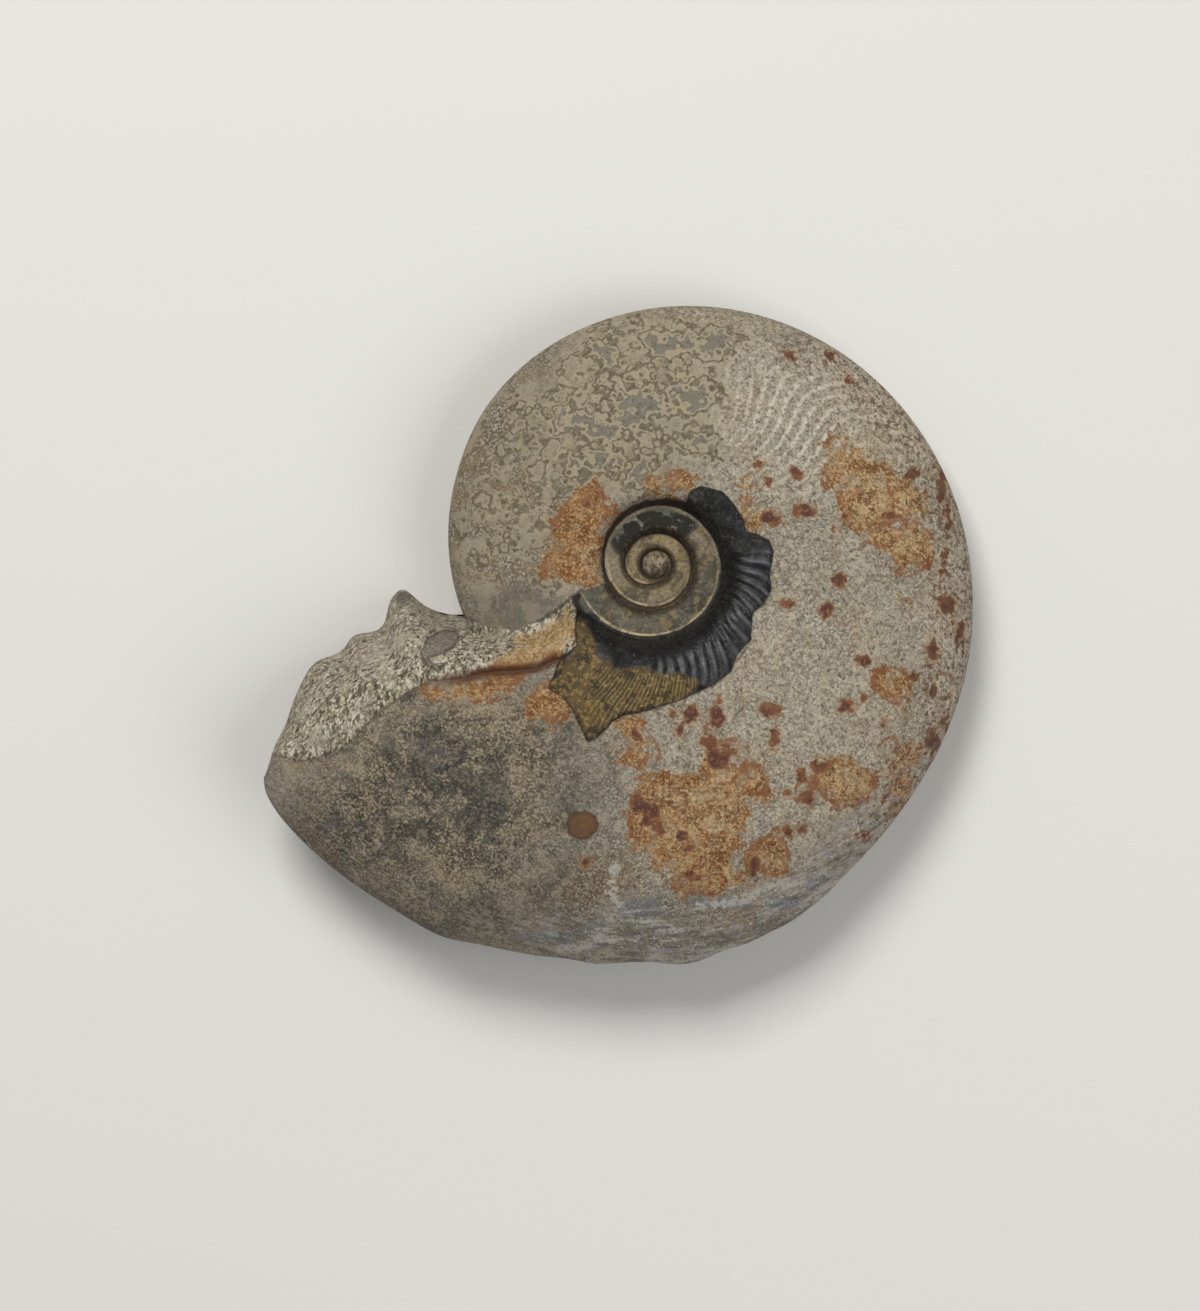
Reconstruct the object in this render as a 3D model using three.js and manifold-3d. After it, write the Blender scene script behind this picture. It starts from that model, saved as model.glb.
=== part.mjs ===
// A Leioceras ammonite: the limestone cast of a coiled, disc-shaped shell, with a patch of the black shell
// left round the upper umbilicus. It lies on one flank. Every whorl is a solid whose section grows along an
// equiangular spiral, and the whorls are joined into one stone.
// Millimetres, +Z up. Coiling angles are in degrees and grow clockwise as seen from above, from +X.
import * as THREE from "three";
import { mergeVertices } from "three/addons/utils/BufferGeometryUtils.js";
import Module from "manifold-3d";

// The coil. Radii are from the coil's axis, where the coiling angle is COIL_ANGLE.
const COIL_ANGLE = 180;
const KEEL_RADIUS = 23.3;
const KEEL_GROWTH = 2.34; // times in one turn
const SEAM_RADIUS = 5.3; // the umbilical seam, where a whorl meets the one inside it
const SEAM_GROWTH = 1.77;
const MOUTH_ANGLE = 504; // where the last whorl is broken off, at its seam
const MOUTH_HALF_WIDTH = 9.9;
const WIDTH_GROWTH = 2.0;

// The section of a whorl. Height runs from 0 at the seam to 1 at the keel.
const CREST_HEIGHT = 0.36; // where the flanks are widest apart
const SEAM_WIDTH = 0.42; // share of the half width at the foot of the umbilical wall
const WALL_HEIGHT = 0.038;
const SHOULDER_FALL = 0.08;
const VENTER_FULLNESS = 2.2;
const VENTER_BLUNTNESS = 0.66; // below 1 the keel is blunter than a knife edge
const FOOT_DEPTH = 0.03; // how far the wall runs on below the seam, inside the whorl before

// The venter's bulges, the last two of them in its lower half: [coiling angle, millimetres added to the keel's
// radius].
const VENTER_SWELL = [
  [130, 0],
  [205, 0.08],
  [222, 0.45],
  [265, 0.42],
  [345, 0.2],
  [372, 0],
  [418, 0.05],
  [425, 0.85],
  [441, 1.3],
  [447, 1.25],
  [451, 0.45],
  [458, 0.28],
  [474, 0.3],
  [480, 0.95],
  [487, 0.62],
  [504, 0.62],
  [507, 0.5],
  [510, 0],
  [512, -0.9],
  [518, -1.1],
  [540, -1.1],
];

// The break across the last whorl: [height in the section, coiling angle of the broken edge] on each flank.
const UPPER_BREAK = [
  [0, 505],
  [0.07, 502],
  [0.15, 495.5],
  [0.22, 498],
  [0.3, 505],
  [0.43, 511.6],
  [0.52, 512.8],
  [0.64, 511.6],
  [0.75, 509.8],
  [0.84, 510.2],
  [0.94, 513],
  [1, 511.5],
];
const LOWER_BREAK = [
  [0, 510],
  [0.2, 521],
  [0.32, 526],
  [0.36, 527.2],
  [0.41, 530.5],
  [0.45, 534.7],
  [0.49, 533],
  [0.53, 528],
  [0.62, 526.9],
  [0.66, 525],
  [0.745, 524],
  [0.82, 520.4],
  [0.88, 517],
  [0.95, 514.2],
  [1, 511.5],
];
const BREAK_SHELF = 0.5; // below 1 the broken face leaves the upper edge as a shelf
const EDGE_DROP = 2.2; // the upper flank bends down to the broken edge
const EDGE_REACH = 2.6;

// The shell patch: [coiling angle, height in the section of its ragged edge], and how far it stands proud.
const SHELL_THICKNESS = 0.45;
const SHELL_START = 288;
const SHELL_EDGE = [
  [130, 0.1],
  [280, 0.1],
  [300, 0.12],
  [330, 0.14],
  [345, 0.21],
  [372, 0.2],
  [386, 0.16],
  [410, 0.18],
  [432, 0.21],
  [449, 0.21],
  [471, 0.34],
  [484, 0.24],
  [540, 0.22],
];
const LEDGE_WIDTH = 0.008;

// Where the lower flank touches the ground, and how deep those crests are worn to a flat.
const REST_ANGLES = [320, 410, 500];
const REST_WEAR = 0.15;

const FIRST_CHAMBER_RADIUS = 1.3;
const COLUMNS_IN_HALF_TURN = 34;
const COLUMNS_IN_INNER_HALF_TURN = 18;
const ROWS_ACROSS = 6; // from the lower flank to the upper one, on the broken face
// Rows of a flank: heights up the wall, then shares of the way on to the shell's edge and from there to the keel.
const WALL_ROWS = [-FOOT_DEPTH, -0.01, 0.03, 0.065];
const SHELL_ROWS = [0.45, 1];
const FLANK_ROWS = [0, 0.12, 0.27, 0.42, 0.57, 0.71, 0.82, 0.91, 0.97, 1];

const wasm = await Module();
wasm.setup();

// A smooth curve through hand-placed keys.
function curve(keys) {
  const at = keys.map((key) => key[0]);
  const values = keys.map((key) => key[1]);
  const through = new THREE.CubicInterpolant(at, values, 1);
  return (x) => {
    const inside = THREE.MathUtils.clamp(x, at[0], at[at.length - 1]);
    return through.evaluate(inside)[0];
  };
}
const venterSwell = curve(VENTER_SWELL);
const upperBreak = curve(UPPER_BREAK);
const lowerBreak = curve(LOWER_BREAK);
const shellEdge = curve(SHELL_EDGE);

function grown(size, growth, angle, from) {
  return size * growth ** ((angle - from) / 360);
}
function seamRadius(angle) {
  return grown(SEAM_RADIUS, SEAM_GROWTH, angle, COIL_ANGLE);
}
function keelRadius(angle) {
  return grown(KEEL_RADIUS, KEEL_GROWTH, angle, COIL_ANGLE) + venterSwell(angle);
}
function halfWidth(angle) {
  return grown(MOUTH_HALF_WIDTH, WIDTH_GROWTH, angle, MOUTH_ANGLE);
}

// Share of the half width at a height in the section: the umbilical wall, the swelling flank and the sharp venter.
function sectionWidth(height) {
  const wall = 1 - (1 - SEAM_WIDTH) * Math.exp(-((Math.max(height, 0) / WALL_HEIGHT) ** 1.3));
  if (height < CREST_HEIGHT) {
    const inward = (CREST_HEIGHT - Math.max(height, 0)) / CREST_HEIGHT;
    const below = Math.max(-height, 0) / FOOT_DEPTH;
    return wall * (1 - SHOULDER_FALL * inward ** 2) * (1 - 0.5 * below);
  }
  const outward = Math.min((height - CREST_HEIGHT) / (1 - CREST_HEIGHT), 1);
  return (1 - outward ** VENTER_FULLNESS) ** VENTER_BLUNTNESS;
}

function place(angle, radius, z) {
  const turn = THREE.MathUtils.degToRad(angle);
  return new THREE.Vector3(radius * Math.cos(turn), -radius * Math.sin(turn), z);
}
function radiusAt(angle, height) {
  return THREE.MathUtils.lerp(seamRadius(angle), keelRadius(angle), height);
}

// The coil's middle plane leans a little, so that the stone lies on the crests of its lower flank.
const restPoints = REST_ANGLES.map((angle) =>
  place(angle, radiusAt(angle, CREST_HEIGHT), halfWidth(angle) - REST_WEAR),
);
const middlePlane = new THREE.Plane().setFromCoplanarPoints(...restPoints);
function middle(x, y) {
  const { normal, constant } = middlePlane;
  return -(constant + normal.x * x + normal.y * y) / normal.z;
}

// The heights of a flank's rows, from the foot of the wall to the keel.
function rowHeights(angle) {
  const edge = shellEdge(angle);
  const top = WALL_ROWS[WALL_ROWS.length - 1];
  const shell = SHELL_ROWS.map((share) => THREE.MathUtils.lerp(top, edge, share));
  const flank = FLANK_ROWS.map((share) => THREE.MathUtils.lerp(edge + LEDGE_WIDTH, 1, share));
  return [...WALL_ROWS, ...shell, ...flank];
}

// The shell patch is on the upper flank, from the wall's foot to its ragged edge.
function shellRise(angle, row, side) {
  if (side < 1 || row >= WALL_ROWS.length + SHELL_ROWS.length) return 0;
  return SHELL_THICKNESS * THREE.MathUtils.smoothstep(angle, SHELL_START, SHELL_START + 6);
}

// Where the break stops a point of the last whorl, between the upper and the lower broken edge.
function breakAngle(height, side) {
  const down = ((1 - side) / 2) ** BREAK_SHELF;
  return THREE.MathUtils.lerp(upperBreak(height), lowerBreak(height), down);
}

// A point of a whorl. Side runs from -1 on the lower flank to 1 on the upper one, and step from 0 to 1 along
// the whorl. A broken whorl stops at the break instead of at its last angle.
function bent(row, side, step, { from, to, broken }) {
  const height = rowHeights(THREE.MathUtils.lerp(from, to, step))[row];
  const end = broken ? breakAngle(height, side) : to;
  const angle = THREE.MathUtils.lerp(from, end, step);
  const radius = radiusAt(angle, height);
  const width = side * sectionWidth(height);
  let rise = width * halfWidth(angle) + shellRise(angle, row, side);
  if (broken && side > 0) {
    const beforeEdge = THREE.MathUtils.degToRad(end - angle) * radius;
    rise -= width * EDGE_DROP * Math.exp(-((beforeEdge / EDGE_REACH) ** 2));
  }
  const point = place(angle, radius, 0);
  point.z = middle(point.x, point.y) + rise;
  return point;
}

// A length of whorl: a block bent round the coil, with its depth from the foot to the keel and its height
// squeezed into the section.
function whorl(from, to, columns, broken = false) {
  const rows = WALL_ROWS.length + SHELL_ROWS.length + FLANK_ROWS.length - 1;
  const block = new THREE.BoxGeometry(rows, 2, columns, rows, ROWS_ACROSS, columns);
  block.translate(rows / 2, 0, columns / 2);
  const position = block.getAttribute("position");
  const corner = new THREE.Vector3();
  for (let i = 0; i < position.count; i++) {
    corner.fromBufferAttribute(position, i);
    const point = bent(Math.round(corner.x), corner.y, corner.z / columns, { from, to, broken });
    position.setXYZ(i, ...point);
  }
  return solid(block);
}

// A closed three.js geometry as a solid. The faces that were squeezed to nothing at the keel are dropped.
function solid(geometry) {
  geometry.deleteAttribute("normal");
  geometry.deleteAttribute("uv");
  const welded = mergeVertices(geometry, 1e-4);
  const corners = welded.index.array;
  const triangles = [];
  for (let i = 0; i < corners.length; i += 3) {
    const [a, b, c] = corners.subarray(i, i + 3);
    if (a !== b && b !== c && c !== a) triangles.push(a, b, c);
  }
  const mesh = new wasm.Mesh({
    numProp: 3,
    vertProperties: welded.getAttribute("position").array,
    triVerts: new Uint32Array(triangles),
  });
  return new wasm.Manifold(mesh);
}

// The first chamber, in the middle of the coil.
function firstChamber() {
  const ball = new THREE.SphereGeometry(FIRST_CHAMBER_RADIUS, 16, 10);
  ball.scale(1, 1, 0.8);
  ball.translate(0, 0, middle(0, 0));
  return solid(ball);
}

// Everything above the ground, which cuts the worn flat.
function aboveGround() {
  const box = new THREE.BoxGeometry(200, 200, 100);
  box.translate(0, 0, 50);
  return solid(box);
}

function ammonite() {
  const last = [
    whorl(MOUTH_ANGLE - 360, MOUTH_ANGLE - 180, COLUMNS_IN_HALF_TURN),
    whorl(MOUTH_ANGLE - 180, MOUTH_ANGLE, COLUMNS_IN_HALF_TURN, true),
  ];
  const inner = [2, 3, 4, 5, 6, 7].map((halfTurn) => {
    const start = MOUTH_ANGLE - 180 * (halfTurn + 1);
    return whorl(start, start + 180, COLUMNS_IN_INNER_HALF_TURN);
  });
  const joined = [...last, ...inner, firstChamber()].reduce((all, next) => all.add(next));
  const bodies = joined.intersect(aboveGround()).decompose();
  const stone = bodies.reduce((a, b) => (a.volume() > b.volume() ? a : b)).getMesh();
  const geometry = new THREE.BufferGeometry();
  geometry.setAttribute("position", new THREE.BufferAttribute(stone.vertProperties, 3));
  geometry.setIndex(new THREE.BufferAttribute(stone.triVerts, 1));
  geometry.computeVertexNormals();
  geometry.computeBoundingBox();
  const limestone = new THREE.MeshStandardMaterial({
    color: 0x8d8371,
    roughness: 0.8,
    metalness: 0,
    flatShading: true,
  });
  const mesh = new THREE.Mesh(geometry, limestone);
  mesh.name = "ammonite";
  // The origin is on the ground, under the middle of the stone.
  const centre = geometry.boundingBox.getCenter(new THREE.Vector3());
  mesh.position.set(-centre.x, -centre.y, 0);
  return mesh;
}

const group = new THREE.Group();
group.add(ammonite());
export default group;
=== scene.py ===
import bmesh
import bpy
import numpy as np
from mathutils import Matrix, Vector


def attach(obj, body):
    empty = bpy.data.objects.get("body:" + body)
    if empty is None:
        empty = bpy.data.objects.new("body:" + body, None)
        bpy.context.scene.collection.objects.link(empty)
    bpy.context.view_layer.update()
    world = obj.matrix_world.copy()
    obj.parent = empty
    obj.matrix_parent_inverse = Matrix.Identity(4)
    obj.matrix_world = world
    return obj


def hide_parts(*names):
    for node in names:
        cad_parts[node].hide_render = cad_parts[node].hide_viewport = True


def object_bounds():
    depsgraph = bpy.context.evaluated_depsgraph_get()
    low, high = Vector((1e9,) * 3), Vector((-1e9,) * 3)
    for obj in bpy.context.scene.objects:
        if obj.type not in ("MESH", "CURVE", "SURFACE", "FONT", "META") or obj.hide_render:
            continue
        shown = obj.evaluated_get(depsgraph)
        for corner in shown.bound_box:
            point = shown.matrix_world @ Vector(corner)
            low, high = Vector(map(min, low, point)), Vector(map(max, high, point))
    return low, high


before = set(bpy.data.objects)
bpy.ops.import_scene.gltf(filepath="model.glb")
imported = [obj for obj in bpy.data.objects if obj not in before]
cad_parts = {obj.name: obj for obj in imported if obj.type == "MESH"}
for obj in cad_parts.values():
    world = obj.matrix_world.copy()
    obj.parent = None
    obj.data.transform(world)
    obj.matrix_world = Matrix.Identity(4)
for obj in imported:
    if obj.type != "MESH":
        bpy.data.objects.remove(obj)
cad_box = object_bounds()
scene = bpy.context.scene

# The stone. It is the limestone cast of a coiled shell: lime mud filled the chambers and set, and most of
# the shell then came off. Each whorl is a lens-shaped section that grows along an equiangular spiral and
# clasps the whorl before. Angles are in degrees, clockwise seen from above, and sizes in millimetres.
MM = 0.001
COIL_AXIS = (4.089, 7.665)
PHOTO_AXIS = (656, 565)
PHOTO_SCALE = 0.1128
COIL_ANGLE = 180
KEEL_RADIUS = 23.3
KEEL_GROWTH = 2.34
SEAM_RADIUS = 5.3
SEAM_GROWTH = 1.77
MOUTH_ANGLE = 504
MOUTH_HALF_WIDTH = 9.9
WIDTH_GROWTH = 2.0
CREST_HEIGHT = 0.36
SEAM_WIDTH = 0.42
WALL_HEIGHT = 0.038
SHOULDER_FALL = 0.08
VENTER_FULLNESS = 2.2
VENTER_BLUNTNESS = 0.66
FOOT = -0.05
REST_ANGLES = (320, 410, 500)
REST_WEAR = 0.15
NUCLEUS_RADIUS = 1.72

# The venter's bulges: coiling angle, and what they add to the keel's radius.
VENTER_SWELL = [
    (130, 0), (205, 0.08), (222, 0.45), (265, 0.42), (345, 0.2), (372, 0), (418, 0.05), (425, 0.85),
    (441, 1.3), (447, 1.25), (451, 0.45), (458, 0.28), (474, 0.3), (480, 0.95), (487, 0.62), (504, 0.62),
    (507, 0.5), (510, 0), (512, -0.9), (518, -1.1), (540, -1.1),
]
# Where the seams of the inner whorls leave the spiral: coiling angle, and share of the spiral's radius.
SEAM_SHAPE = [
    (-640, 1), (-540, 1), (-400, 0.8), (-290, 0.67), (-255, 0.8), (-190, 1.12), (-90, 1.02), (0, 0.955),
    (90, 1), (180, 1.05), (270, 1.05), (360, 1), (430, 0.975), (504, 1),
]
# The broken mouth: height in the section, and the break's coiling angle on the upper and the lower flank.
UPPER_BREAK = [
    (0, 520), (0.03, 509.5), (0.074, 500.5), (0.12, 497), (0.166, 496.2), (0.218, 499), (0.253, 502.2),
    (0.3, 506.3), (0.35, 508.6), (0.44, 512), (0.52, 512.8), (0.64, 511.6), (0.75, 509.8), (0.84, 510.2),
    (0.94, 513), (1, 511.5),
]
LOWER_BREAK = [
    (0, 520), (0.2, 523), (0.32, 526), (0.36, 527.2), (0.41, 530.5), (0.45, 534.7), (0.49, 533),
    (0.53, 528), (0.62, 526.9), (0.66, 525), (0.745, 524), (0.82, 520.4), (0.88, 517), (0.95, 514.2),
    (1, 511.5),
]
BREAK_SHELF = 2
EDGE_DROP = 2.2
EDGE_REACH = 2.6
RIM_CHIPS = 0.16
CHIPPED = (415, 430, 466, 474)


def lerp(a, b, share):
    return a + (b - a) * share


def step_up(x, low, high):
    share = np.clip((x - low) / (high - low), 0, 1)
    return share * share * (3 - 2 * share)


# A smooth line through given keys.
def curve(keys, x):
    at, values = np.array(keys, float).T
    slope = np.diff(values) / np.diff(at)
    tangent = np.concatenate([slope[:1], (slope[:-1] + slope[1:]) / 2, slope[-1:]])
    x = np.clip(x, at[0], at[-1])
    i = np.clip(np.searchsorted(at, x, side="right") - 1, 0, len(slope) - 1)
    gap = at[i + 1] - at[i]
    p = (x - at[i]) / gap
    rest = 1 - p
    start = rest * rest * ((1 + 2 * p) * values[i] + p * gap * tangent[i])
    end = p * p * ((3 - 2 * p) * values[i + 1] - rest * gap * tangent[i + 1])
    return start + end


def grown(size, growth, angle, start):
    return size * growth ** ((angle - start) / 360)


def seam_radius(angle):
    return grown(SEAM_RADIUS, SEAM_GROWTH, angle, COIL_ANGLE) * curve(SEAM_SHAPE, angle)


def keel_radius(angle):
    return grown(KEEL_RADIUS, KEEL_GROWTH, angle, COIL_ANGLE) + curve(VENTER_SWELL, angle)


def half_width(angle):
    return grown(MOUTH_HALF_WIDTH, WIDTH_GROWTH, angle, MOUTH_ANGLE)


# Share of the half width at a height in the section: umbilical wall, swelling flank and sharp venter.
def section_width(height):
    up = np.maximum(height, 0)
    wall = 1 - (1 - SEAM_WIDTH) * np.exp(-((up / WALL_HEIGHT) ** 1.3))
    inward = np.clip((CREST_HEIGHT - up) / CREST_HEIGHT, 0, 1)
    outward = np.clip((height - CREST_HEIGHT) / (1 - CREST_HEIGHT), 0, 1)
    flank = wall * (1 - SHOULDER_FALL * inward**2) * (1 - outward**VENTER_FULLNESS) ** VENTER_BLUNTNESS
    return flank * np.clip(1 - height / FOOT, 0, 1)


def around(angle, radius):
    turn = np.radians(angle)
    return radius * np.cos(turn), -radius * np.sin(turn)


def radius_at(angle, height):
    return lerp(seam_radius(angle), keel_radius(angle), height)


# The coil's middle plane leans a little, so that the stone lies on the crests of its lower flank.
rest_angles = np.array(REST_ANGLES, float)
rest_x, rest_y = around(rest_angles, radius_at(rest_angles, CREST_HEIGHT))
rest_rows = np.column_stack([rest_x, rest_y, np.ones(3)])
lean = np.linalg.solve(rest_rows, half_width(rest_angles) - REST_WEAR)


def middle(x, y):
    return lean[0] * x + lean[1] * y + lean[2]


# 1 between the inner two of four places, 0 beyond the outer two.
def plateau(x, rise_from, rise_to, fall_from, fall_to):
    return step_up(x, rise_from, rise_to) * (1 - step_up(x, fall_from, fall_to))


# A soft-edged oval, 1 in its middle: its place and half sizes in millimetres, and how sharp its edge is.
def oval(x, y, cx, cy, across, along, sharpness):
    return np.exp(-(np.hypot((x - cx) / across, (y - cy) / along) ** sharpness))


# Soft seeded lumps about a given size across, between about -1 and 1.
def lumps(x, y, z, size, seed, waves=14):
    draw = np.random.default_rng(seed)
    total = np.zeros_like(x)
    for _ in range(waves):
        ways = draw.normal(size=3)
        ways *= 2 * np.pi / (np.linalg.norm(ways) * size * draw.uniform(1.2, 2.6))
        total += np.sin(x * ways[0] + y * ways[1] + z * ways[2] + draw.uniform(0, 2 * np.pi))
    return total / (0.95 * np.sqrt(waves))


# Lumps of several sizes: how high each is, how far across, and its seed.
def mixed_lumps(x, y, z, sizes):
    return sum(high * lumps(x, y, z, across, seed) for high, across, seed in sizes)


def photo_mm(px, py):
    return (px - PHOTO_AXIS[0]) * PHOTO_SCALE, (PHOTO_AXIS[1] - py) * PHOTO_SCALE


def off_stretch(x, y, ax, ay, bx, by):
    dx, dy = bx - ax, by - ay
    along = np.clip(((x - ax) * dx + (y - ay) * dy) / (dx * dx + dy * dy), 0, 1)
    return np.hypot(x - ax - along * dx, y - ay - along * dy)


# Millimetres from an open line given in the photograph's pixels.
def beside(x, y, line):
    corners = [photo_mm(*corner) for corner in line]
    return np.min([off_stretch(x, y, *a, *b) for a, b in zip(corners, corners[1:])], axis=0)


# Millimetres from a closed outline, positive inside it.
def within(x, y, outline):
    corners = [photo_mm(*corner) for corner in outline]
    inside = np.zeros(x.shape, bool)
    for (ax, ay), (bx, by) in zip(corners, corners[1:] + corners[:1]):
        if ay != by:
            inside ^= ((ay > y) != (by > y)) & (x < (bx - ax) * (y - ay) / (by - ay) + ax)
    edge = beside(x, y, [*outline, outline[0]])
    return np.where(inside, edge, -edge)


# The living shell's ribs lean forward, back and forward again: height in the section, and degrees forward.
RIB_SWEEP = [
    (0, 8), (0.05, 8.3), (0.1, 9.5), (0.165, 12.5), (0.22, 15.5), (0.29, 17), (0.4, 18), (0.5, 18),
    (0.58, 16.5), (0.67, 14.5), (0.75, 14.2), (0.82, 15.8), (0.9, 19), (1, 26),
]
# The flanks' low undulations, as height, millimetres across and seed, and a few folds on the right flank.
UNDULATIONS = [(0.1, 9, 1), (0.045, 3.4, 2), (0.02, 1.5, 3)]
FOLDS_A_WHORL = 15
FOLD_HEIGHT = 0.13
FOLD_PLACE = (20, -1, 9, 9, 2)

# The black shell that is left round the umbilicus stands proud of the cast, and its ragged edge is a ledge.
# It is crumbled at first, and pleated between the inner two of four coiling angles.
SHELL_THICKNESS = 0.45
SHELL_START = 285
PLEATS_A_WHORL = 54
PLEAT_WAVER = 2.1
PLEAT_HEIGHT = 0.075
PLEATED = (348, 358, 452, 470)
CRUMBLE_HEIGHT = 0.17
CRUMBLE_END = (350, 362)
SHELL_OUTLINE = [
    (690, 492), (700, 487), (722, 493), (735, 508), (742, 520), (745, 533), (755, 535), (768, 541),
    (772, 552), (768, 575), (770, 590), (762, 605), (752, 612), (750, 625), (749, 640), (735, 655),
    (730, 671), (711, 685), (692, 694), (681, 699), (664, 704), (649, 709), (635, 712), (616, 717),
    (600, 733), (588, 741), (583, 730), (575, 712), (565, 697), (549, 688), (557, 668), (560, 660),
    (578, 645), (575, 632), (578, 612), (593, 598), (620, 560), (656, 530), (680, 520),
]
CREASE = [
    (556, 659), (538, 668), (520, 670), (497, 671), (478, 674), (463, 678), (440, 680), (428, 682),
    (413, 690), (393, 703), (377, 716), (352, 742), (326, 755), (305, 761), (269, 753),
]


# The shell's pleats, from -1 between them to 1 on their crests.
def pleat_wave(x, y, z, angle, height):
    phase = np.radians((angle - curve(RIB_SWEEP, height)) * PLEATS_A_WHORL)
    return np.cos(phase + PLEAT_WAVER * lumps(x, y, z, 3, 8)) * plateau(angle, *PLEATED)


# What the finer forms add to a flank's height. The broken mouth is lumpy and has a groove along its crease.
BREAK_LUMPS = [(0.22, 3, 6), (0.12, 1.5, 7)]
CREASE_WIDTH = 0.5
CREASE_DEPTH = 0.5
CREASE_START = (-26, -18)


def relief(x, y, z, angle, height, side, mouth):
    rise = mixed_lumps(x, y, z, UNDULATIONS) * (1 - step_up(height, 0.9, 1))
    turned = np.radians((angle - curve(RIB_SWEEP, height)) * FOLDS_A_WHORL)
    folds = np.sin(turned + lumps(x, y, z, 9, 10)) * oval(x, y, *FOLD_PLACE)
    edge = within(x, y, SHELL_OUTLINE) + 0.25 * lumps(x, y, 0 * z, 1.3, 4)
    shell = step_up(edge, -0.15, 0.15) * (side > 0.999) * (angle > SHELL_START)
    shell = shell * step_up(height, -0.01, 0.03)
    pleats = pleat_wave(x, y, z, angle, height) * (0.75 + 0.45 * lumps(x, y, z, 4, 14))
    crumbled = lumps(x, y, z, 1.3, 5) * (1 - step_up(angle, *CRUMBLE_END))
    raised = SHELL_THICKNESS + PLEAT_HEIGHT * pleats + CRUMBLE_HEIGHT * crumbled
    rise = rise + FOLD_HEIGHT * folds + shell * raised
    if mouth:
        groove = np.exp(-((beside(x, y, CREASE) / CREASE_WIDTH) ** 2)) * step_up(x, *CREASE_START)
        rise = rise + np.clip(1 - side**4, 0, 1) * mixed_lumps(x, y, z, BREAK_LUMPS) - CREASE_DEPTH * groove
    return rise


# Whether a face of a sheet lies along the sheet's border, less than one and a half cells inside it.
def on_border(face, columns, rows):
    place = face.calc_center_median()
    return min(place.x, 1 - place.x) < 1.5 / columns or min(place.y, 1 - place.y) < 1.5 / rows


# Puts a finished mesh into the scene.
def placed(name, bm):
    mesh = bpy.data.meshes.new(name)
    bm.to_mesh(mesh)
    bm.free()
    made = bpy.data.objects.new(name, mesh)
    scene.collection.objects.link(made)
    return made


# A length of whorl starts as the sheets of a squared block, with u along the coil, v from the foot of the
# umbilical wall to the keel, and the side from -1 on the lower flank to 1 on the upper one. The lower sheet
# is half as fine, apart from its border.
MERGED = 1e-4
SLIVER = 1e-5


def block(name, start, end, columns, heights, sides, mouth=False):
    bm = bmesh.new()
    rows = len(heights) - 1
    upper = Matrix.Translation((0.5, 0.5, 1))
    bmesh.ops.create_grid(bm, x_segments=columns, y_segments=rows, size=0.5, matrix=upper)
    lower = Matrix.Translation((0.5, 0.5, -1))
    made = bmesh.ops.create_grid(bm, x_segments=columns // 2, y_segments=rows // 2, size=0.5, matrix=lower)
    edges = {edge for vert in made["verts"] for edge in vert.link_edges}
    rim = [edge for edge in edges if any(on_border(face, columns, rows) for face in edge.link_faces)]
    bmesh.ops.subdivide_edges(bm, edges=rim, cuts=1, use_grid_fill=True, use_single_edge=True)
    for u, cuts in ((0, 4), (1, sides)):
        cap = Matrix(((0, 0, 1, u), (1, 0, 0, 0.5), (0, 2, 0, 0), (0, 0, 0, 1)))
        bmesh.ops.create_grid(bm, x_segments=rows, y_segments=cuts, size=0.5, matrix=cap)
    u, v, side = np.array([vert.co for vert in bm.verts]).T
    if mouth:
        shelf = np.clip((1 - side) / 2, 0, 1)
        side = np.where(u > 0.9999, 1 - 2 * shelf**BREAK_SHELF, side)
    height = np.interp(v * rows, np.arange(rows + 1), heights)
    stop = np.full_like(u, end)
    if mouth:
        down = np.sqrt(np.clip((1 - side) / 2, 0, 1))
        stop = lerp(curve(UPPER_BREAK, height), curve(LOWER_BREAK, height), down)
    angle = lerp(start, stop, u)
    radius = radius_at(angle, height)
    if mouth:
        chips = lumps(angle / 2, 0 * angle, 0 * angle, 2, 9) * plateau(angle, *CHIPPED)
        radius = radius + RIM_CHIPS * chips * step_up(height, 0.93, 1)
    x, y = around(angle, radius)
    width = side * section_width(height)
    rise = width * half_width(angle)
    if mouth:
        before = np.radians(stop - angle) * radius
        rise -= np.maximum(width, 0) * EDGE_DROP * np.exp(-((before / EDGE_REACH) ** 2))
    flat = middle(x, y)
    closed = np.minimum(section_width(height) * 4, 1)
    z = flat + rise + closed * relief(x, y, flat + rise, angle, height, side, mouth)
    z = np.maximum(z, 0)
    for vert, *place in zip(bm.verts, x, y, z):
        vert.co = place
    bmesh.ops.remove_doubles(bm, verts=bm.verts, dist=MERGED)
    bmesh.ops.dissolve_degenerate(bm, dist=SLIVER, edges=bm.edges)
    bmesh.ops.recalc_face_normals(bm, faces=bm.faces)
    return placed(name, bm)


# The rows of the last whorl's blocks and of the inner ones', as heights in the section. They are closer at
# the umbilical wall and the keel.
last_heights = np.concatenate([
    [FOOT],
    np.linspace(-0.02, 0.1, 18)[:-1],
    np.linspace(0.1, 0.94, 80)[:-1],
    1 - 0.06 * np.linspace(1, 0, 16) ** 1.5,
])
inner_heights = np.concatenate([
    [FOOT],
    np.linspace(-0.02, 0.1, 9)[:-1],
    np.linspace(0.1, 0.28, 15)[:-1],
    np.linspace(0.28, 0.55, 4)[:-1],
    np.linspace(0.55, 1, 3),
])
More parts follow.
